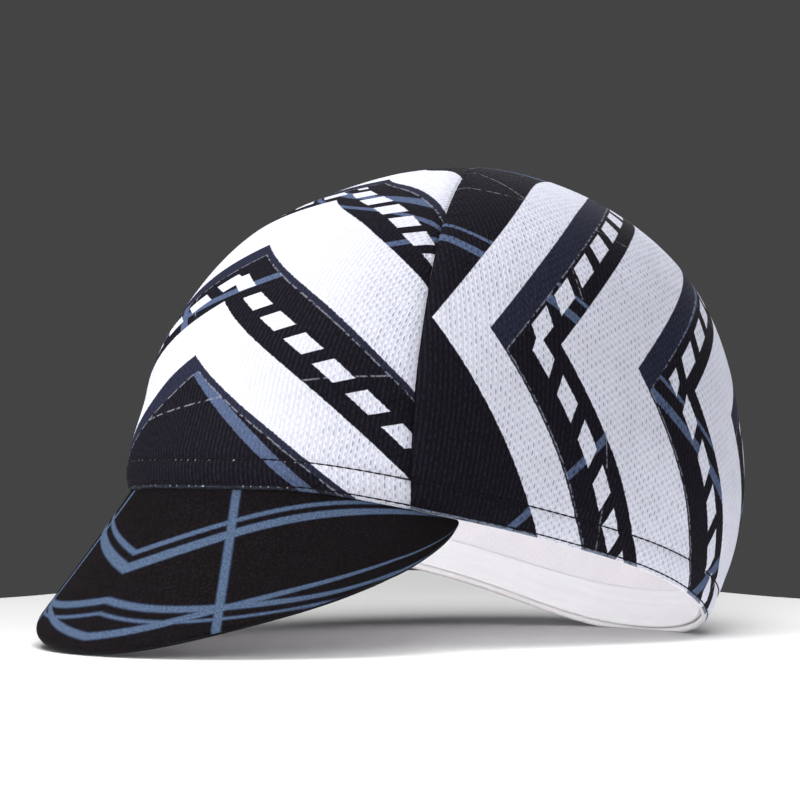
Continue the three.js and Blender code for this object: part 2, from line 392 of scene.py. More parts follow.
# Each panel between its two seams, and its grain
PANELS = (
    ("front_panel", right_seam_turn, seam_turn, FRONT_GRAIN),
    ("side_panel_left", seam_turn, back_seam_turn, SIDE_GRAIN),
    ("side_panel_right", right_back_seam_turn, right_seam_turn, 1.0 - SIDE_GRAIN),
)


def row_at_height(height):
    return np.degrees(np.arcsin(np.minimum(height / CROWN_HEIGHT, 1.0)))


def wall_at(row):
    height = CROWN_HEIGHT * np.sin(np.radians(row))
    fade = smooth_step(height, HEM_HEIGHT, HEM_HEIGHT + HEM_STEP)
    return HEM_WALL + (CLOTH_WALL - HEM_WALL) * fade


def peak_point(side, out):
    """Top of the peak: side runs from -1 to 1 along the rim, out from 0 at the rim to 1 at the edge."""
    turn = PEAK_HALF_ANGLE * side
    flat_row = np.zeros_like(turn)
    rim = panel_point(turn, flat_row)
    along = panel_point(turn + SLOPE_STEP, flat_row) - panel_point(turn - SLOPE_STEP, flat_row)
    away = unit(np.stack([along[..., 1], -along[..., 0], flat_row], axis=-1))
    away = unit(away * (1.0 - PEAK_FORWARD) + np.array([0.0, -PEAK_FORWARD, 0.0]))
    slope = np.radians(PEAK_SLOPE + (PEAK_SIDE_SLOPE - PEAK_SLOPE) * side * side)
    reach = np.abs(side)
    squeeze = (1.0 - CORNER_START) / (1.0 + COVER_TAIL - CORNER_START)
    drawn = np.where(reach < CORNER_START, reach, CORNER_START + (reach - CORNER_START) * squeeze)
    roundness = np.maximum(1.0 - drawn * drawn, 0.0) ** PEAK_ROUNDNESS
    end = PEAK_END_LENGTH * (1.0 - CORNER_POINT * smooth_step(reach, CORNER_START, 1.0 + COVER_TAIL))
    length = end + (PEAK_LENGTH - PEAK_END_LENGTH) * roundness
    flat = (length * out * np.cos(slope))[..., None] * away
    drop = (length * out * np.sin(slope))[..., None] * np.array([0.0, 0.0, 1.0])
    return rim + flat - drop


def peak_normal(side, out):
    inside = np.clip(side, -1.0 + SLOPE_STEP, 1.0 - SLOPE_STEP)
    across = peak_point(inside + SLOPE_STEP, out) - peak_point(inside - SLOPE_STEP, out)
    outward = peak_point(inside, out + SLOPE_STEP) - peak_point(inside, out)
    return unit(np.cross(outward, across))


def stand_on_floor(points):
    """Tips points back with the cap and sets them on the floor in metres, pressed flat where they touch."""
    tip = math.radians(TIP_ANGLE)
    y = points[..., 1] * math.cos(tip) + points[..., 2] * math.sin(tip) + PLACE_Y
    z = points[..., 2] * math.cos(tip) - points[..., 1] * math.sin(tip) + FLOOR_DROP
    pressed = SOFT_CONTACT * np.exp(np.minimum(z / SOFT_CONTACT - 1.0, 0.0))
    z = np.where(z < SOFT_CONTACT, pressed, z)
    return np.stack([points[..., 0], y, z], axis=-1) * MM


# Meshes

def crowded(count, crowding):
    """Shares from 0 to 1 that crowd towards both ends."""
    even = np.linspace(0.0, 1.0, count + 1)
    return (1.0 - crowding) * even + crowding * (0.5 - 0.5 * np.cos(np.pi * even))


def running_length(points, axis):
    """Length along a grid of points from its first line, as an array of the grid's shape."""
    steps = np.linalg.norm(np.diff(points, axis=axis), axis=-1)
    start = np.zeros_like(np.take(steps, [0], axis=axis))
    return np.concatenate([start, np.cumsum(steps, axis=axis)], axis=axis)


def grid_faces(rows, columns, wrap_rows=False, wrap_columns=False):
    """Faces of a grid of vertices, and the row and column at which each one starts."""
    i, j = np.meshgrid(
        np.arange(rows if wrap_rows else rows - 1),
        np.arange(columns if wrap_columns else columns - 1),
        indexing="ij",
    )
    i, j = i.ravel(), j.ravel()
    up, beside = (i + 1) % rows, (j + 1) % columns
    here, there = i * columns, up * columns
    corners = np.stack([here + j, here + beside, there + beside, there + j], axis=1)
    return corners, np.stack([i, j], axis=1)


def strip(first, second):
    """Faces between two lines of vertices."""
    return np.stack([first[:-1], first[1:], second[1:], second[:-1]], axis=1)


def face_map(map_u, map_v, faces):
    return np.stack([map_u.ravel()[faces], map_v.ravel()[faces]], axis=-1)


def cloth_object(name, points, faces, corner_map, materials, slots=None):
    """A mesh object from points in millimetres, with a map of the cloth in millimetres."""
    points = points.reshape(-1, 3)
    if slots is None:
        slots = np.zeros(len(faces), int)
    mesh = bpy.data.meshes.new(name)
    mesh.vertices.add(len(points))
    mesh.vertices.foreach_set("co", stand_on_floor(points).astype(np.float32).ravel())
    mesh.loops.add(faces.size)
    mesh.loops.foreach_set("vertex_index", faces.astype(np.int32).ravel())
    mesh.polygons.add(len(faces))
    mesh.polygons.foreach_set("loop_start", np.arange(0, faces.size, faces.shape[1], dtype=np.int32))
    mesh.polygons.foreach_set("material_index", np.asarray(slots, dtype=np.int32))
    mesh.update(calc_edges=True)
    mesh.validate()
    cloth = mesh.uv_layers.new(name="cloth")
    cloth.uv.foreach_set("vector", corner_map.astype(np.float32).ravel())
    mesh.polygons.foreach_set("use_smooth", np.ones(len(mesh.polygons), dtype=bool))
    mesh.set_sharp_from_angle(angle=math.radians(SHARP_ANGLE))
    for material in materials:
        mesh.materials.append(material)
    made = bpy.data.objects.new(name, mesh)
    bpy.context.scene.collection.objects.link(made)
    return made


# Crown panels

def hem_relief(height, across):
    """How far the hem stands out: drawn in at both stitch rows, puffed between them, ribbed a little."""
    stitches = bpy.context.scene.cap_stitches
    upper, lower = stitches.upper_row, stitches.lower_row
    beat = 0.75 + 0.25 * np.cos(2.0 * np.pi * across / stitches.pitch)
    drawn = UPPER_DRAW * beat * bell(height - upper, UPPER_DRAW_SPREAD)
    drawn = drawn + LOWER_DRAW * beat * bell(height - lower, LOWER_DRAW_SPREAD)
    between = np.clip((height - lower) / (upper - lower), 0.0, 1.0)
    puff = HEM_PUFF * np.sin(np.pi * between) ** 0.8
    above = SWELL * bell(height - upper - SWELL_RISE, SWELL_SPREAD)
    wander = 2.0 * np.sin(across / 17.0)
    ribs = HEM_RIB * np.sin(2.0 * np.pi * across / HEM_RIB_LENGTH + wander) * np.sin(np.pi * between)
    return puff + above + ribs - drawn


def cloth_unevenness(points):
    """Broad, shallow unevenness of knit that hangs without a head in it."""
    x, y, z = points[..., 0], points[..., 1], points[..., 2]
    first = np.sin(x / 19.0 + 0.7 * np.sin(z / 23.0)) * np.sin(z / 27.0 + 1.3)
    second = np.sin(y / 16.0 + 1.9 + 0.5 * np.sin(x / 31.0)) * np.cos(z / 18.0 + 0.4)
    third = np.sin((x + y) / 41.0 + z / 35.0)
    return 0.22 * first + 0.2 * second + 0.25 * third


def panel_rows():
    """Rows of the outside of a panel, from the middle of the fold at the rim to the meeting point."""
    hem = np.arange(HEM_WALL / 2.0, HEM_HEIGHT + HEM_ROWS_OVER, HEM_ROW_STEP)
    start = row_at_height(hem[-1])
    end = 90.0 - math.degrees(TOP_OPENING / CROWN_HALF_WIDTH)
    return np.concatenate([row_at_height(hem), np.linspace(start, end, PANEL_ROWS)[1:]])


def panel_turns(from_seam, to_seam, rows, columns, seam_gap):
    """The turn of each column in each row, half the seam gap inside both seams."""
    first, last = from_seam(rows), to_seam(rows)
    low = first + seam_gap / 2.0 / turn_length(first, rows)
    high = last - seam_gap / 2.0 / turn_length(last, rows)
    return low[:, None] + (high - low)[:, None] * crowded(columns, COLUMN_CROWDING)[None, :]


def seam_relief(seam_away, up, hem_fade, top_fade):
    """The dip that both sides of the cloth share along a seam, and the whole relief of the outside there."""
    shared_dip = SEAM_DIP * bell(seam_away, SEAM_SPREAD) * top_fade
    valley = shared_dip * (0.55 + 0.45 * hem_fade)
    curl = SEAM_CURL * bell(seam_away, SEAM_CURL) * top_fade
    pucker = PUCKER_DEPTH * np.sin(2.0 * np.pi * up / PUCKER_LENGTH + 1.7 * np.sin(up / 13.0))
    pucker = pucker * bell(seam_away, PUCKER_SPREAD) * hem_fade * top_fade
    return shared_dip, pucker - valley - curl


def rolled_fold(outside, inside, tangent):
    """Points and map heights round the fold at the rim, from the inside to the outside."""
    radius = HEM_WALL / 2.0
    middle = (outside + inside) / 2.0
    half = (outside - inside) / 2.0
    angles = np.linspace(0.0, math.pi, FOLD_STEPS)[1:-1][::-1]
    points = [middle + half * math.cos(a) - tangent * radius * math.sin(a) for a in angles]
    return np.array(points), radius - radius * angles


def panel_grid(from_seam, to_seam, grain, columns, settings):
    """Points of one panel, inside from the top down, round the fold, and outside from the rim up."""
    rows = panel_rows()
    turn = panel_turns(from_seam, to_seam, rows, columns, settings.seam_gap)
    row = np.broadcast_to(rows[:, None], turn.shape)
    base = panel_point(turn, row)
    normal, tangent = panel_axes(turn, row)
    from_first = running_length(base, 1)
    width = from_first[:, -1:]
    across = from_first - width * grain
    seam_away = np.minimum(from_first, width - from_first)
    up = running_length(base, 0) + HEM_WALL / 2.0

    band_top = row_at_height(HEM_HEIGHT + BAND_MARGIN)
    hem_fade = smooth_step(row, band_top, 2.0 * band_top)
    top_fade = 1.0 - smooth_step(row, SEAM_DIP_END, 90.0)
    if grain == FRONT_GRAIN:
        drawn_in = np.minimum(width[0] / width, MOST_DRAWN_IN) - 1.0
        across = across * (1.0 + FRONT_DRAW_IN * drawn_in * hem_fade)
    shared_dip, seam = seam_relief(seam_away, up, hem_fade, top_fade)
    uneven = cloth_unevenness(base) * smooth_step(up, HEM_HEIGHT, HEM_HEIGHT + 25.0) * top_fade
    outside = base + normal * (hem_relief(up, across) + seam + uneven)[..., None]

    allowance = settings.seam_allowance
    felled = SEAM_RIDGE * (1.0 - smooth_step(seam_away, allowance - 1.0, allowance)) * hem_fade * top_fade
    depth = wall_at(row) + shared_dip * hem_fade + felled
    inside = base + normal * (uneven * hem_fade - depth)[..., None]

    fold, fold_up = rolled_fold(outside[0], inside[0], tangent[0])
    fold_across = np.repeat(across[:1], len(fold), axis=0)
    turned = HEM_WALL - HEM_WALL / 2.0 * math.pi - up
    points = np.concatenate([inside[::-1], fold, outside], axis=0)
    map_u = np.concatenate([across[::-1], fold_across, across], axis=0)
    map_v = np.concatenate([turned[::-1], np.broadcast_to(fold_up[:, None], fold_across.shape), up], axis=0)
    return points, map_u, map_v, len(rows)


def cut_edges(rows, width, count):
    """Faces that close a panel at its seams and at the top, and the round ends of the fold."""
    index = np.arange(rows * width).reshape(rows, width)
    walls = [strip(index[-1], index[0])]
    for column, flip in ((0, 1), (width - 1, -1)):
        outer = index[rows - count:, column]
        inner = index[:count, column][::-1]
        ring = index[count - 1:rows - count + 1, column]
        half = len(ring) // 2
        walls.append(strip(outer, inner)[:, ::flip])
        walls.append(strip(ring[:half], ring[::-1][:half])[:, ::-flip])
    return np.concatenate(walls, axis=0)


def panel_object(name, from_seam, to_seam, grain, columns, materials, settings):
    points, map_u, map_v, count = panel_grid(from_seam, to_seam, grain, columns, settings)
    if grain > FRONT_GRAIN:
        map_u = -map_u
    rows, width = points.shape[:2]
    faces, places = grid_faces(rows, width)
    inner_hem = count - 1 - np.searchsorted(panel_rows(), row_at_height(HEM_HEIGHT))
    slots = (places[:, 0] < inner_hem).astype(int)
    edges = cut_edges(rows, width, count)
    faces = np.concatenate([faces, edges], axis=0)
    slots = np.concatenate([slots, np.zeros(len(edges), int)])
    return cloth_object(name, points, faces, face_map(map_u, map_v, faces), materials, slots)


# Threads

def thread_mesh(runs, normals, radius):
    """Thin tubes along many short runs of points, all with the same count of points."""
    count, length = runs.shape[:2]
    along = unit(np.gradient(runs, axis=1))
    side = unit(np.cross(along, normals))
    top = unit(np.cross(side, along))
    sides = THREAD_SIDES
    angle = np.linspace(0.0, 2.0 * np.pi, sides, endpoint=False)
    taper = np.sin(np.pi * np.linspace(THREAD_TAPER, 1.0 - THREAD_TAPER, length)) ** 0.3
    ring = (
        side[:, :, None, :] * np.cos(angle)[None, None, :, None]
        + top[:, :, None, :] * np.sin(angle)[None, None, :, None]
    )
    points = runs[:, :, None, :] + ring * radius * taper[None, :, None, None]
    per = length * sides
    tube, places = grid_faces(length, sides, wrap_columns=True)
    tube = tube[:, ::-1]
    offsets = (np.arange(count) * per)[:, None, None]
    faces = (tube[None] + offsets).reshape(-1, 4)
    u = np.where(places[:, 1:2] == sides - 1, sides, places[:, 1:2] + 1)
    first = places[:, :1]
    map_along = np.concatenate([first + 1, first + 1, first, first], axis=1)
    map_around = np.concatenate([places[:, 1:2], u, u, places[:, 1:2]], axis=1)
    map_one = np.stack([map_along, map_around], axis=-1).astype(float)
    corner_map = np.broadcast_to(map_one[None], (count, *map_one.shape)).reshape(-1, 4, 2)
    return points, faces, corner_map


# Colours and patterns of the cloth

class Ink:
    """A number that varies over the cloth. Its sums, products and the like are Math nodes."""

    def __init__(self, tree, socket):
        self.tree = tree
        self.socket = socket

    def math(self, operation, *others, clamp=False):
        node = self.tree.nodes.new("ShaderNodeMath")
        node.operation = operation
        node.use_clamp = clamp
        for place, value in zip(node.inputs, (self, *others)):
            if isinstance(value, Ink):
                self.tree.links.new(value.socket, place)
            else:
                place.default_value = value
        return Ink(self.tree, node.outputs[0])

    def __add__(self, other):
        return self.math("ADD", other)

    def __sub__(self, other):
        return self.math("SUBTRACT", other)

    def __rsub__(self, other):
        return self.math("MULTIPLY_ADD", -1.0, other)

    def __mul__(self, other):
        return self.math("MULTIPLY", other)

    def __abs__(self):
        return self.math("ABSOLUTE")

    def lesser(self, other):
        return self.math("MINIMUM", other)

    def greater(self, other):
        return self.math("MAXIMUM", other)

    def part(self):
        return self.math("FRACT")

    def whole(self):
        return self.math("FLOOR")

    def zigzag(self, half):
        return self.math("PINGPONG", half)

    def mask(self, blur=0.25):
        """1 where the number is over 0 and 0 where it is under, with a printed edge this many mm soft."""
        return self.math("MULTIPLY_ADD", 1.0 / blur, 0.5, clamp=True)


def new_material(name):
    material = bpy.data.materials.new(name)
    material.use_nodes = True
    tree = material.node_tree
    return material, tree, tree.nodes["Principled BSDF"]


def finish_surface(tree, shader, kind, colour, height):
    """Sets the colour, the gloss and the relief of one kind of cloth."""
    tree.links.new(colour, shader.inputs["Base Color"])
    for socket, value in SURFACES[kind].items():
        shader.inputs[socket].default_value = value
    bump = tree.nodes.new("ShaderNodeBump")
    bump.inputs["Distance"].default_value = RELIEF[kind]
    bump.inputs["Strength"].default_value = 1.0
    tree.links.new(height.socket, bump.inputs["Height"])
    tree.links.new(bump.outputs[0], shader.inputs["Normal"])


def cloth_map(tree):
    """Across and up on the cloth, in millimetres."""
    node = tree.nodes.new("ShaderNodeUVMap")
    node.uv_map = "cloth"
    split = tree.nodes.new("ShaderNodeSeparateXYZ")
    tree.links.new(node.outputs[0], split.inputs[0])
    return Ink(tree, split.outputs[0]), Ink(tree, split.outputs[1])


def joined(tree, u, v):
    node = tree.nodes.new("ShaderNodeCombineXYZ")
    for place, value in zip(node.inputs, (u, v)):
        if isinstance(value, Ink):
            tree.links.new(value.socket, place)
        else:
            place.default_value = value
    return node.outputs[0]


def noise(tree, u, v, scale, detail=2.0):
    """Smooth noise round 0.5 over the cloth, with features of about 1/scale millimetres."""
    node = tree.nodes.new("ShaderNodeTexNoise")
    node.noise_dimensions = "2D"
    node.inputs["Scale"].default_value = scale
    node.inputs["Detail"].default_value = detail
    tree.links.new(joined(tree, u, v), node.inputs["Vector"])
    return Ink(tree, node.outputs[0])


def tone(tree, u, v, scale, detail, spread):
    """A factor round 1 that varies smoothly over the cloth by this spread."""
    return noise(tree, u, v, scale, detail) * spread + (1.0 - spread / 2.0)


def ripple(place, length):
    """A wave from -1 to 1 that comes back after this length."""
    return (place * (2.0 * math.pi / length)).math("SINE")


def speck(tree, u, v):
    """One random number for each whole pair of numbers."""
    node = tree.nodes.new("ShaderNodeTexWhiteNoise")
    node.noise_dimensions = "2D"
    tree.links.new(joined(tree, u, v), node.inputs["Vector"])
    return Ink(tree, node.outputs[0])


def layer(tree, under, colour, mask):
    """One colour laid over another where the mask says."""
    node = tree.nodes.new("ShaderNodeMix")
    node.data_type = "RGBA"
    if isinstance(mask, Ink):
        tree.links.new(mask.socket, node.inputs[0])
    else:
        node.inputs[0].default_value = mask
    for place, value in ((6, under), (7, colour)):
        if isinstance(value, bpy.types.NodeSocket):
            tree.links.new(value, node.inputs[place])
        else:
            node.inputs[place].default_value = (*value, 1.0)
    return node.outputs[2]


def shaded(tree, colour, factor):
    """A colour times a number."""
    node = tree.nodes.new("ShaderNodeVectorMath")
    node.operation = "SCALE"
    tree.links.new(colour, node.inputs[0])
    tree.links.new(factor.socket, node.inputs["Scale"])
    return node.outputs[0]


def union(fields):
    """Over 0 inside any of the fields."""
    whole = fields[0]
    for field in fields[1:]:
        whole = whole.greater(field)
    return whole


def stripe(place, middle, half):
    """Over 0 inside a straight stripe of a field."""
    return half - abs(place - middle)


def slanted_stripe(u, v, angle, middle, half):
    """Over 0 inside a stripe that stands across a direction this many degrees up from the cloth's across."""
    a = math.radians(angle)
    return stripe(u * math.cos(a) + v * math.sin(a), middle, half)


def chevron_field(u, v, apex, arm_angle):
    """Distance across a set of chevrons that point towards falling u, and distance along their arms."""
    a = math.radians(arm_angle)
    wing = abs(v - apex)
    return u * math.cos(a) - wing * math.sin(a), u * math.sin(a) + wing * math.cos(a)


def blocks(across, along, middle):
    """Over 0 inside a row of leaning blocks along a line of a chevron field."""
    period = BLOCK_LENGTH + BLOCK_GAP
    leaning = along + across * BLOCK_LEAN
    return stripe(across, middle, BLOCK_HALF_WIDTH).lesser(leaning.zigzag(period / 2.0) - BLOCK_GAP / 2.0)


def cloth_print(u, v, design):
    """White chevrons and blocks, their slate drop shadows, steel-blue stripes and hairlines."""
    a, b = (v * -1.0, u) if design["points_up"] else (u, v)
    across, along = chevron_field(a, b, *design["chevron"])
    low_across, _ = chevron_field(a - SHADOW_DROP, b + design["shadow_shift"], *design["chevron"])
    bars = [stripe(across, *bar) for bar in design["bars"]]
    block_rows = [blocks(across, along, middle) for middle in design["block_rows"]]
    slate = union([stripe(low_across, *bar) for bar in design["bars"]])
    stripes = union([slanted_stripe(u, v, *line) for line in design["stripes"]])
    hairlines = union([slanted_stripe(u, v, *line) for line in design["hairlines"]])
    return union(bars + block_rows), slate, stripes, hairlines


def knit_cells(tree, u, v, settings):
    """Rows of small upright openings in brick order, the ribs between them, and a chance for each opening."""
    columns = u * (1.0 / settings.knit_column)
    column = columns.whole()
    stagger = (column * 0.5).part()
    rows = v * (1.0 / settings.knit_row) + stagger
    chance = speck(tree, column, rows.whole())
    beside = abs(columns.part() - 0.5) * settings.knit_column
    above = abs(rows.part() - 0.5) * settings.knit_row
    wide = (beside * (1.0 / OPENING_HALF_WIDTH)).math("POWER", 2.0)
    high = above.math("DIVIDE", chance * 0.4 + 0.45).math("POWER", 2.0)
    shaded_opening = (1.0 - (wide + high)).mask(1.3) * (chance * 0.6 + 0.55)
    rib = (columns * (2.0 * math.pi)).math("COSINE") * 0.5 + 0.5
    return shaded_opening, rib, chance


def open_share(u, v, design):
    """1 where the mesh is stretched open, less to the sides and overhead."""
    aside = (abs(abs(u) - design["open_middle"]) - design["open_reach"]) * (1.0 / CLOSING_ASIDE)
    overhead = (v - CLOSING_HEIGHT) * (1.0 / CLOSING_OVERHEAD)
    return aside.greater(overhead).math("MULTIPLY", 1.0, clamp=True) * -0.75 + 1.0


def needle_holes(tree, u, v):
    """Specks of bare cloth just under both rows of stitches, at some of the needle's holes."""
    stitches = bpy.context.scene.cap_stitches
    beat = u * (1.0 / stitches.pitch) + 0.5
    drift = (noise(tree, u, v, 0.4, 1.0) - 0.5) * 0.5
    at_hole = (0.05 - abs(beat.part() + drift - 0.5)).mask(0.08)
    under = v + stitches.radius * 1.6
    rows = [(0.2 - abs(under - row)).mask(0.2) for row in (stitches.upper_row, stitches.lower_row)]
    seen = (speck(tree, beat.whole(), (v * 0.2).whole()) - 0.55).mask(0.4)
    return union(rows) * at_hole * seen


def printed_colours(tree, u, v, design, colours):
    """The print on the cloth, with its broken light outlines, and where it is white."""
    wander = noise(tree, u, v, 0.9, 1.0) - 0.5
    white, slate, stripes, hairlines = cloth_print(u + wander * 0.35, v + wander * 0.25, design)
    broken = (noise(tree, u, v, 0.55, 2.0) - 0.46).mask(0.08)
    outline = (0.22 - abs(slate)).mask(0.2) * broken
    on_white = white.mask()
    colour = layer(tree, colours.near_black, colours.steel_blue, stripes.mask() * 0.92)
    colour = layer(tree, colour, colours.hairline, hairlines.mask(0.3) * broken * 0.6)
    colour = layer(tree, colour, colours.slate, slate.mask())
    colour = layer(tree, colour, colours.hairline, outline * 0.55)
    return layer(tree, colour, colours.white, on_white), on_white


def knit_material(design, colours, settings):
    """Thin printed mesh knit: its print, ribs and openings, needle holes and the worn fold of the hem, with
    painted shade in the openings and between the ribs.

    Under its face_start the cloth is turned in and shows its white side.
    """
    material, tree, shader = new_material(design["name"])
    u, v = cloth_map(tree)
    colour, on_white = printed_colours(tree, u, v, design, colours)
    shaded_opening, rib, chance = knit_cells(tree, u, v, settings)
    colour = layer(tree, colour, colours.bare_cloth, needle_holes(tree, u, v) * design["holes_seen"])
    lip_noise = noise(tree, u * 0.5, v * 3.0, 0.45, 3.0)
    lip = (1.2 - v).mask(0.4) * (lip_noise - 0.38).mask(0.2) * (1.0 - on_white)
    colour = layer(tree, colour, colours.lip, lip * design["worn"])
    inward = (design["face_start"] - v).mask(0.5)
    colour = layer(tree, colour, colours.reverse, inward)
    shown = 1.0 - inward
    shaded_opening = shaded_opening * open_share(u, v, design) * shown
    # Painted shade in the openings: white cloth there takes the darker blue-grey colour of a shaded opening
    colour = layer(tree, colour, colours.shaded_opening, shaded_opening * on_white * 0.85)

    on_dark = (1.0 - on_white) * shown
    thread_tone = tone(tree, u * 2.0, v * 0.9, 0.9, 2.0, 0.5) - 1.0
    thread_tone = thread_tone * (on_dark * 1.5 + shown * 0.35) + 1.0
    # Painted shade in the grooves between the ribs and painted light on their crests
    rib_shading = (rib * -0.16 + 0.06) * shown + 1.0
    # Painted shade: openings in dark cloth are darkened further; the rest of this factor is random tone and
    # the painted rib shading
    shade = (1.0 - shaded_opening * on_dark * 0.75) * tone(tree, u, v, 0.06, 3.0, 0.14) * thread_tone * rib_shading
    glint = (noise(tree, u * 2.2, v * 0.8, 0.8, 1.0) - 0.5).mask(0.25) * (1.0 - rib) * on_dark
    lit = glint * 0.016 + (1.0 - rib) * 0.005
    colour = layer(tree, shaded(tree, colour, shade), colours.rib_light, lit)
    courses = ripple(v, COURSE_HEIGHT) * 0.12
    height = ((1.0 - rib) * 0.55 + courses - shaded_opening * 0.8 + chance * 0.05) * (shown * 0.95 + 0.05)
    finish_surface(tree, shader, "knit", colour, height)
    return material


def reverse_material(colours, settings):
    """Unprinted inside of the knit, white with a breath of pink, and its openings."""
    material, tree, shader = new_material("knit_reverse")
    u, v = cloth_map(tree)
    shaded_opening, rib, _ = knit_cells(tree, u, v, settings)
    # Painted shade: the reverse is a little darker in its openings and between its ribs
    shade = (1.0 - shaded_opening * 0.05) * tone(tree, u, v, 0.08, 3.0, 0.08) * (rib * -0.02 + 1.0)
    cloudy = (noise(tree, u, v, 0.05, 1.0) - 0.2) * 0.5
    base = layer(tree, colours.reverse, colours.white, cloudy)
    finish_surface(tree, shader, "reverse", shaded(tree, base, shade), (1.0 - rib) * 0.3 - shaded_opening * 0.3)
    return material


def peak_material(colours):
    """Smooth fine woven cover: near-black with steel-blue chevrons, and tiny flecks."""
    material, tree, shader = new_material("peak_cover_cloth")
    u, v = cloth_map(tree)
    wander = noise(tree, u, v, 0.8, 1.0) - 0.5
    x, y = abs(u + wander * 0.3), v + wander * 0.3
    ray_slant, *ray = PEAK_RAY
    stripes = [stripe(y + x * slant, middle, half) for slant, middle, half in PEAK_STRIPES]
    lines = union([*stripes, stripe(x - y * ray_slant, *ray)])
    outline = (abs(lines) * -1.0 + 0.35).mask(0.3)
    fleck = (noise(tree, u, v, 1.2, 2.0) - 0.55).mask(0.12) * 0.45
    black = layer(tree, colours.peak_black, colours.peak_fleck, fleck)
    mottle = (noise(tree, u, v, 1.5, 2.0) - 0.5).mask(0.3) * 0.5
    blue = layer(tree, colours.peak_blue, colours.slate, mottle)
    colour = shaded(tree, black, tone(tree, u, v, 0.22, 3.0, 0.7))
    colour = layer(tree, colour, blue, lines.mask(0.3))
    colour = layer(tree, colour, colours.navy, outline * 0.5)
    weave = ripple(u, WEAVE_THREAD) * ripple(v, WEAVE_THREAD)
    finish_surface(tree, shader, "peak", colour, weave * 0.7 + noise(tree, u, v, 0.12, 1.0) * 0.6)
    return material


def band_material(colours):
    """Soft white knitted band with fine lengthwise lines."""
    material, tree, shader = new_material("band_cloth")
    u, v = cloth_map(tree)
    speckle = noise(tree, u, v, 2.2, 2.0)
    streaks = (noise(tree, u * 0.1, v * 0.8, 0.5, 2.0) - 0.5).mask(0.5) * 0.35
    base = layer(tree, colours.band, colours.band_shade, streaks)
    shade = tone(tree, u * 0.15, v, 0.6, 3.0, 0.06) * (speckle * 0.06 + 0.97)
    height = ripple(v, 0.9) * 0.1 + ripple(u, 0.8) * 0.1 + speckle * 0.4
    finish_surface(tree, shader, "band", shaded(tree, base, shade), height)
    return material


def thread_material(colours):
    """Dark polyester sewing thread with its twist."""
    material, tree, shader = new_material("sewing_thread")
    along, around = cloth_map(tree)
    twist = ripple(along * 1.6 + around, 3.0)
    # Painted highlight: the raised ply of the twist is drawn lighter
    colour = layer(tree, colours.thread, colours.thread_light, twist * 0.2 + 0.2)
    finish_surface(tree, shader, "thread", colour, twist)
    return material


# Settings

def colour_setting(name, description, value):
    return bpy.props.FloatVectorProperty(
        name=name, description=description, default=value, subtype="COLOR", size=3, min=0.0, max=1.0
    )


def length_setting(name, description, value, high):
    text = description + ", in millimetres"
    return bpy.props.FloatProperty(name=name, description=text, default=value, min=0.0, max=high)


def count_setting(name, description, value):
    return bpy.props.IntProperty(name=name, description=description, default=value, min=16)


def stage_setting(name, description, value, unit):
    return bpy.props.FloatProperty(name=name, description=description, default=value, unit=unit)


class CapColours(bpy.types.PropertyGroup):
    """Colours of the cloth, print and thread"""

    white: colour_setting("White", "White of the printed knit", (0.72, 0.728, 0.828))
    near_black: colour_setting("Near-black", "Ground of the print", (0.0062, 0.0052, 0.0092))
    slate: colour_setting("Slate", "Drop shadows of the print", (0.0175, 0.0200, 0.040))
    steel_blue: colour_setting("Steel blue", "Stripes of the print", (0.09, 0.125, 0.225))
    peak_blue: colour_setting("Peak blue", "Stripes of the peak", (0.105, 0.16, 0.262))
    navy: colour_setting("Navy", "Edge of the stripes on the peak", (0.016, 0.022, 0.05))
    hairline: colour_setting("Hairline", "Broken thin lines along the print", (0.33, 0.34, 0.4))
    # Painted shade: the white knit as it looks shaded inside its openings
    shaded_opening: colour_setting("Opening", "White cloth inside the openings", (0.30, 0.305, 0.42))
    rib_light: colour_setting("Rib light", "Light that the ribs of dark knit catch", (0.5, 0.48, 0.62))
    bare_cloth: colour_setting("Bare cloth", "Cloth that shows at needle holes", (0.62, 0.62, 0.68))
    lip: colour_setting("Fold lip", "Worn print along the fold of the hem", (0.24, 0.29, 0.40))
    reverse: colour_setting("Reverse", "Inside of the knit", (0.88, 0.85, 0.87))
    band: colour_setting("Band", "Band inside the rim", (0.88, 0.88, 0.895))
    band_shade: colour_setting("Band shade", "Darker streaks of the band", (0.82, 0.82, 0.845))
    peak_black: colour_setting("Peak black", "Cover of the peak", (0.0036, 0.0028, 0.0041))
    peak_fleck: colour_setting("Peak fleck", "Flecks in the peak's cover", (0.022, 0.014, 0.015))
    thread: colour_setting("Thread", "Sewing thread", (0.004, 0.004, 0.006))
    # Painted highlight on the raised ply of the thread
    thread_light: colour_setting("Thread light", "Raised ply of the thread", (0.012, 0.012, 0.016))


class CapCrown(bpy.types.PropertyGroup):
    """Sizes of the crown's cloth"""

    seam_gap: length_setting("Seam gap", "Gap between two panels", 0.03, 1.0)
    seam_allowance: length_setting("Seam allowance", "Width of cloth turned in at a seam", 7.0, 15.0)
    knit_column: length_setting("Knit column", "Distance between columns of openings", 1.52, 5.0)
    knit_row: length_setting("Knit row", "Distance between openings of a column", 2.3, 6.0)
    side_columns: count_setting("Side columns", "Columns of a side panel's mesh", 236)
    front_columns: count_setting("Front columns", "Columns of the front panel's mesh", 164)


class CapStitches(bpy.types.PropertyGroup):
    """Sizes of the two rows of stitches in the hem"""

    upper_row: length_setting("Upper row", "Height of the upper row over the fold", 9.0, 20.0)
    lower_row: length_setting("Lower row", "Height of the lower row over the fold", 1.45, 5.0)
    pitch: length_setting("Pitch", "Length of one stitch", 2.8, 6.0)
    radius: length_setting("Thread radius", "Half the thickness of the thread", 0.24, 1.0)


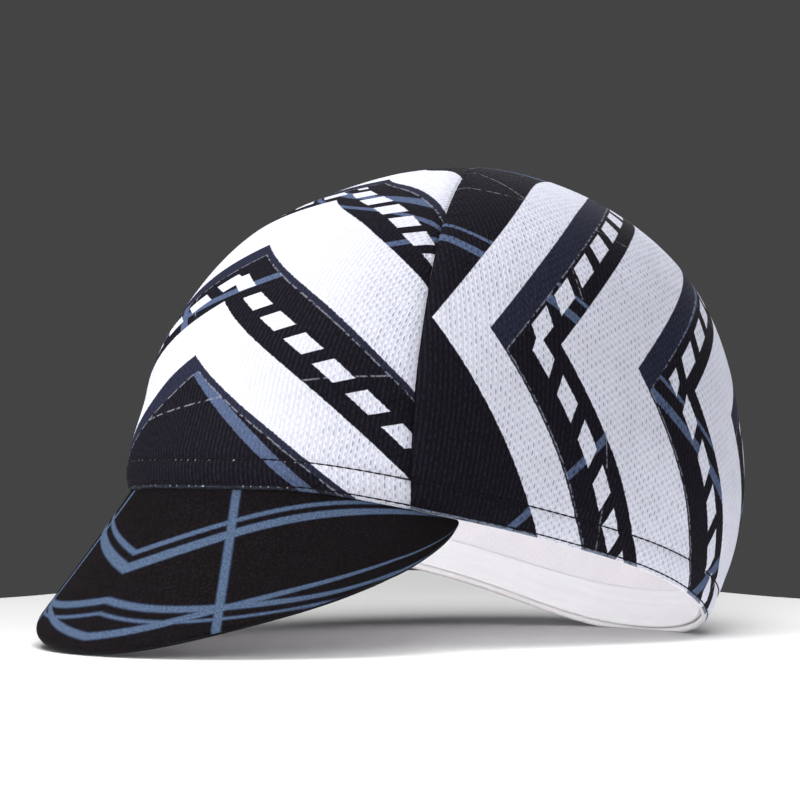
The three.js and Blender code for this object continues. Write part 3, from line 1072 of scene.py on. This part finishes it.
class CapPeak(bpy.types.PropertyGroup):
    """Sizes of the peak's cover"""

    edge: length_setting("Edge", "Width of the rounded edge", 1.3, 5.0)
    columns: count_setting("Columns", "Columns of the peak's mesh", 180)


class CapBand(bpy.types.PropertyGroup):
    """Sizes of the band inside the rim"""

    wrinkle: length_setting("Wrinkle", "Depth of its lengthwise wrinkles", 0.07, 0.5)
    columns: count_setting("Columns", "Columns of the band's mesh", 420)


class CapStage(bpy.types.PropertyGroup):
    """Floor and light round the cap"""

    floor_radius: stage_setting("Floor radius", "Radius of the round floor", 0.41, "LENGTH")
    floor_shift: stage_setting("Floor shift", "How far it lies towards the camera", 0.15, "LENGTH")
    floor_reach: stage_setting("Floor reach", "How much further it reaches behind the cap", 0.24, "LENGTH")
    light: stage_setting("Light", "Power of the main light", 24.5, "POWER")
    floor_light: stage_setting("Floor light", "Power of the light that the floor alone gets", 80.0, "POWER")
    hollow_light: stage_setting("Hollow light", "Power of the light in the hollow", 0.068, "POWER")
    wall: colour_setting("Wall", "Colour behind the floor", (0.058, 0.058, 0.058))


# Pieces

def finish_piece(piece, slot, *nodes):
    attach(piece, "root")
    if nodes:
        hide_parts(*nodes)
    return piece


class CAP_OT_crown(bpy.types.Operator):
    """Makes the three panels of the crown, with their seams, hem and print"""

    bl_idname = "cap.crown"
    bl_label = "Crown panels"

    def execute(self, context):
        colours, settings = context.scene.cap_colours, context.scene.cap_crown
        reverse = reverse_material(colours, settings)
        front = (settings.front_columns, [knit_material(FRONT_DESIGN, colours, settings), reverse])
        side = (settings.side_columns, [knit_material(SIDE_DESIGN, colours, settings), reverse])
        for node, from_seam, to_seam, grain in PANELS:
            columns, materials = front if grain == FRONT_GRAIN else side
            piece = panel_object(node + "_cloth", from_seam, to_seam, grain, columns, materials, settings)
            finish_piece(piece, "crown_knit", node)
        return {"FINISHED"}


class CAP_OT_stitches(bpy.types.Operator):
    """Sews the two rows of dark stitches round the hem"""

    bl_idname = "cap.stitches"
    bl_label = "Hem stitches"

    def execute(self, context):
        settings = context.scene.cap_stitches
        material = thread_material(context.scene.cap_colours)
        for name, height in (("upper", settings.upper_row), ("lower", settings.lower_row)):
            points, faces, corner_map = self.row(height, settings)
            piece = cloth_object("hem_stitches_" + name, points, faces, corner_map, [material])
            finish_piece(piece, "crown_knit")
        return {"FINISHED"}

    def row(self, height, settings):
        """One row of stitches right round the hem, each one lapping a little over the next."""
        row = float(row_at_height(height))
        arch = np.sin(np.pi * np.linspace(0.0, 1.0, STITCH_POINTS)) ** 0.5 * 0.6 - 0.3
        runs, normals = [], []
        for _, from_seam, to_seam, grain in PANELS:
            turn = np.linspace(float(from_seam(row)), float(to_seam(row)), ROW_SAMPLES)
            across = running_length(panel_point(turn, np.full_like(turn, row)), 0)
            across = across - across[-1] * grain
            first = math.ceil(across[0] / settings.pitch - 0.5)
            last = math.floor(across[-1] / settings.pitch + 0.5)
            for beat in range(first, last):
                span = np.linspace(beat - STITCH_LAP, beat + 1.0 + STITCH_LAP, STITCH_POINTS) * settings.pitch
                at = np.interp(span, across, turn)
                rows = np.full_like(at, row)
                normal, _ = panel_axes(at, rows)
                out = hem_relief(np.full_like(at, height), span) + arch * settings.radius
                runs.append(panel_point(at, rows) + normal * out[:, None])
                normals.append(normal)
        return thread_mesh(np.array(runs), np.array(normals), settings.radius)


class CAP_OT_peak(bpy.types.Operator):
    """Makes the peak: a bent stiff sheet in its printed cover, with a thin rounded edge"""

    bl_idname = "cap.peak"
    bl_label = "Peak"

    def execute(self, context):
        points, map_u, map_v = self.sheet(context.scene.cap_peak)
        rows, width = points.shape[:2]
        faces, _ = grid_faces(rows, width)
        index = np.arange(rows * width).reshape(rows, width)
        edge = rows // 2
        closing = [strip(index[-1], index[0])]
        for column, flip in ((0, 1), (width - 1, -1)):
            under = index[:edge + 1, column][::-1]
            closing.append(strip(under, index[edge:, column])[1:, ::flip])
        faces = np.concatenate([faces, *closing], axis=0)[:, ::-1]
        material = peak_material(context.scene.cap_colours)
        piece = cloth_object("peak_cover", points, faces, face_map(map_u, map_v, faces), [material])
        finish_piece(piece, "peak_cloth", "peak")
        return {"FINISHED"}

    def sheet(self, settings):
        """Points of the cover from its root below, round the edge, to its root above, and their map."""
        side = np.sin(np.radians(90.0) * np.linspace(-1.0, 1.0, settings.columns + 1)) * (1.0 + COVER_TAIL)
        lengths = np.concatenate([EDGE_ROWS, np.linspace(settings.edge, PEAK_LENGTH, PEAK_ROWS)])
        grid_side, grid_out = np.meshgrid(side, 1.0 - lengths / PEAK_LENGTH, indexing="xy")
        normal = peak_normal(grid_side, grid_out)
        top = peak_point(grid_side, grid_out)
        from_edge = np.broadcast_to(lengths[:, None], grid_side.shape)
        along = running_length(top, 1)
        from_end = np.minimum(along, along[:, -1:] - along)
        rounding = self.rounded(from_edge / settings.edge) * self.rounded(from_end / settings.edge + 0.12)
        half = PEAK_WALL / 2.0 * rounding
        middle = top - normal * (PEAK_WALL / 2.0) - np.array([0.0, 0.0, ROOT_GAP])
        bow = PEAK_BOW * np.sin(from_edge / 9.0 + 0.6) * smooth_step(from_edge, 3.0, 12.0)
        upper = middle + normal * (half + bow)[..., None]
        under = middle - normal * (half - bow)[..., None]
        tab_top, tab_under = self.root_tab(side)
        points = np.concatenate([tab_under[None], under[::-1], upper[1:], tab_top[None]], axis=0)
        u = along - along[:, -1:] / 2.0
        v = PEAK_LENGTH - from_edge
        map_u = np.concatenate([u[-1:], u[::-1], u[1:], u[-1:]], axis=0)
        v_root = v[-1:] - ROOT_TAB
        map_v = np.concatenate([v_root - UNDER_MAP, -v[::-1] - UNDER_MAP, v[1:], v_root], axis=0)
        return points, map_u, map_v

    @staticmethod
    def root_tab(side):
        """Top and under line of the edge of the cover that is sewn in under the fold."""
        turn = PEAK_HALF_ANGLE * side
        row = np.zeros_like(turn)
        outward, up = panel_axes(turn, row)
        inner = panel_point(turn, row) - outward * ROOT_TAB
        return inner - up * ROOT_GAP, inner - up * (ROOT_GAP + ROOT_WALL)

    @staticmethod
    def rounded(share):
        inside = np.clip(share, 0.0, 1.0)
        return np.sqrt(np.maximum(1.0 - (1.0 - inside) ** 2, 0.0)) * 0.9 + 0.1 * inside


class CAP_OT_sweatband(bpy.types.Operator):
    """Makes the soft white band inside the rim"""

    bl_idname = "cap.sweatband"
    bl_label = "Sweatband"

    def execute(self, context):
        points, map_u, map_v, round_length = self.ring(context.scene.cap_band)
        count, width = points.shape[:2]
        faces, places = grid_faces(count, width, wrap_rows=True, wrap_columns=True)
        corner_map = face_map(map_u, map_v, faces)
        last = places[:, 1] == width - 1
        corner_map[last, 1, 0] = round_length[places[last, 0]]
        corner_map[last, 2, 0] = round_length[(places[last, 0] + 1) % count]
        material = band_material(context.scene.cap_colours)
        piece = cloth_object("sweatband_cloth", points, faces, corner_map, [material])
        finish_piece(piece, "band_cloth", "sweatband")
        return {"FINISHED"}

    def ring(self, settings):
        """Points of the band, up its outside and down its inside, their map, and each row's length."""
        low, high = BAND_RECESS, HEM_HEIGHT + BAND_MARGIN
        heights = low + (high - low) * crowded(BAND_ROWS, BAND_CROWDING)
        turn = np.linspace(-180.0, 180.0, settings.columns, endpoint=False)
        grid_turn, grid_row = np.meshgrid(turn, row_at_height(heights), indexing="xy")
        base = panel_point(grid_turn, grid_row)
        normal, _ = panel_axes(grid_turn, grid_row)
        across = running_length(base, 1)
        height = np.broadcast_to(heights[:, None], grid_turn.shape)
        rim = np.clip(np.minimum(height - low, high - height) / BAND_ROUNDING, 0.0, 1.0)
        rounding = 0.35 + 0.65 * np.sqrt(1.0 - (1.0 - rim) ** 2)
        depth = HEM_WALL + CLEARANCE + BAND_WALL / 2.0
        wave = np.sin(height * 1.9 + 0.8 * np.sin(across / 21.0) + 0.5 * np.sin(across / 7.3))
        wave = wave + 0.5 * np.sin(height * 3.1 - 0.6 * np.sin(across / 13.0) + 1.0)
        inward = 0.5 * settings.wrinkle * wave * rounding - 0.2 * bell(height - HEM_HEIGHT, 0.7)
        outer = base - normal * (depth - BAND_WALL / 2.0 * rounding)[..., None]
        inner = base - normal * (depth + (BAND_WALL / 2.0 - BAND_EASE) * rounding + inward)[..., None]
        points = np.concatenate([outer, inner[::-1]], axis=0)
        map_v = np.concatenate([height, (2.0 * high - height)[::-1]], axis=0)
        map_u = np.concatenate([across, across[::-1]], axis=0)
        round_length = across[:, -1] + across[:, 1]
        return points, map_u, map_v, np.concatenate([round_length, round_length[::-1]])


# Stage

def view_axes():
    """Directions from the cap to the camera, and to the camera's right."""
    azimuth, elevation = math.radians(VIEW_AZIMUTH), math.radians(VIEW_ELEVATION)
    level = math.cos(elevation)
    back = Vector((math.sin(azimuth) * level, -math.cos(azimuth) * level, math.sin(elevation)))
    return back, Vector((math.cos(azimuth), math.sin(azimuth), 0.0))


def soft_light(name, direction, distance, size, power, target):
    """A soft light of some width and height that looks at the cap and doesn't show itself."""
    data = bpy.data.lights.new(name, "AREA")
    data.shape = "RECTANGLE"
    data.size, data.size_y = size
    data.energy = power
    lamp = bpy.data.objects.new(name, data)
    lamp.location = target + direction.normalized() * distance
    lamp.rotation_mode = "QUATERNION"
    lamp.rotation_quaternion = (-direction).to_track_quat("-Z", "Y")
    lamp.visible_camera = False
    bpy.context.scene.collection.objects.link(lamp)
    return lamp


def choose_lit(name, floor, state, lamps):
    """Makes these lamps light the floor alone, or leave it out."""
    chosen = bpy.data.collections.new(name)
    chosen.objects.link(floor)
    chosen.collection_objects[0].light_linking.link_state = state
    for lamp in lamps:
        lamp.light_linking.receiver_collection = chosen


class CAP_OT_stage(bpy.types.Operator):
    """Sets the pale floor, the soft lights and the camera"""

    bl_idname = "cap.stage"
    bl_label = "Floor, lights and camera"

    def execute(self, context):
        scene = context.scene
        settings = scene.cap_stage
        back, right = view_axes()
        target = right * VIEW_SIDEWAYS + Vector((0.0, 0.0, VIEW_HEIGHT))
        floor = self.floor(scene, settings, back)

        def lamp(plan, power):
            name, (to_right, to_back, to_up), distance, width, share = plan
            direction = right * to_right + back * to_back + Vector((0.0, 0.0, to_up))
            return soft_light(name, direction, distance, (width, width), power * share, target)

        side_light = lamp(SIDE_LIGHT, settings.light)
        side_light.data.color = SIDE_LIGHT_COLOUR
        cap_lights = [lamp(plan, settings.light) for plan in CAP_LIGHTS]
        into_hollow = back - Vector((0.0, 0.0, HOLLOW_LIGHT_DROP))
        hollow_light = soft_light(
            "hollow_light", into_hollow, HOLLOW_LIGHT_AWAY, HOLLOW_LIGHT_SIZE,
            settings.hollow_light, Vector(HOLLOW_MIDDLE),
        )
        cap_lights.append(hollow_light)
        choose_lit("spared_by_cap_lights", floor, "EXCLUDE", cap_lights)
        floor_lights = [lamp(plan, settings.floor_light) for plan in FLOOR_LIGHTS]
        choose_lit("lit_by_floor_lights", floor, "INCLUDE", floor_lights)
        self.world(scene, settings)
        self.camera(scene, back, target)
        scene.view_settings.view_transform = "Standard"
        return {"FINISHED"}

    def camera(self, scene, back, target):
        data = bpy.data.cameras.new("photo_view")
        data.lens = VIEW_LENS
        data.sensor_width = VIEW_SENSOR
        data.clip_start, data.clip_end = 0.01, 50.0
        camera = bpy.data.objects.new("photo_view", data)
        camera.location = target + back * VIEW_DISTANCE
        camera.rotation_mode = "QUATERNION"
        camera.rotation_quaternion = (-back).to_track_quat("-Z", "Y")
        scene.collection.objects.link(camera)
        scene.camera = camera

    def floor(self, scene, settings, back):
        """A pale disc that reaches further behind the cap."""
        angle = np.linspace(-np.pi, np.pi, FLOOR_POINTS, endpoint=False)
        reach = settings.floor_radius + settings.floor_reach * bell(np.degrees(angle), FLOOR_BUMP_WIDTH)
        turn = angle + math.atan2(-back.y, -back.x)
        ring = np.stack([np.cos(turn) * reach, np.sin(turn) * reach, np.zeros(FLOOR_POINTS)], axis=1)
        ring = ring + np.array([back.x, back.y, 0.0]) * settings.floor_shift
        mesh = bpy.data.meshes.new("pale_floor")
        mesh.from_pydata(ring.tolist(), [], [tuple(range(FLOOR_POINTS))])
        material, _, shader = new_material("pale_floor")
        shader.inputs["Base Color"].default_value = FLOOR_COLOUR
        shader.inputs["Roughness"].default_value = FLOOR_ROUGHNESS
        mesh.materials.append(material)
        floor = bpy.data.objects.new("pale_floor", mesh)
        scene.collection.objects.link(floor)
        return floor

    def world(self, scene, settings):
        world = bpy.data.worlds.new("dim_room")
        world.use_nodes = True
        ground = world.node_tree.nodes["Background"]
        ground.inputs["Color"].default_value = (*settings.wall, 1.0)
        ground.inputs["Strength"].default_value = 1.0
        scene.world = world


class CAP_PT_pieces(bpy.types.Panel):
    """Lists the pieces of the cap and their sizes"""

    bl_idname = "CAP_PT_pieces"
    bl_label = "Cycling cap"
    bl_space_type = "VIEW_3D"
    bl_region_type = "UI"
    bl_category = "Cap"

    def draw(self, context):
        groups = (
            ("cap.crown", "cap_crown"), ("cap.stitches", "cap_stitches"), ("cap.peak", "cap_peak"),
            ("cap.sweatband", "cap_band"), ("cap.stage", "cap_stage"), (None, "cap_colours"),
        )
        for operator, group in groups:
            box = self.layout.box()
            if operator:
                box.operator(operator)
            settings = getattr(context.scene, group)
            for key in settings.__annotations__:
                box.prop(settings, key)


SETTINGS = {
    "cap_colours": CapColours,
    "cap_crown": CapCrown,
    "cap_stitches": CapStitches,
    "cap_peak": CapPeak,
    "cap_band": CapBand,
    "cap_stage": CapStage,
}
OPERATORS = (CAP_OT_crown, CAP_OT_stitches, CAP_OT_peak, CAP_OT_sweatband, CAP_OT_stage)


def register():
    for cls in (*SETTINGS.values(), *OPERATORS, CAP_PT_pieces):
        bpy.utils.register_class(cls)
    for name, group in SETTINGS.items():
        setattr(bpy.types.Scene, name, bpy.props.PointerProperty(type=group))


def unregister():
    for name in SETTINGS:
        delattr(bpy.types.Scene, name)
    for cls in (CAP_PT_pieces, *reversed(OPERATORS), *reversed(SETTINGS.values())):
        bpy.utils.unregister_class(cls)


def main():
    register()
    bpy.ops.cap.stage()
    bpy.ops.cap.crown()
    bpy.ops.cap.stitches()
    bpy.ops.cap.peak()
    bpy.ops.cap.sweatband()


if __name__ == "__main__":
    main()
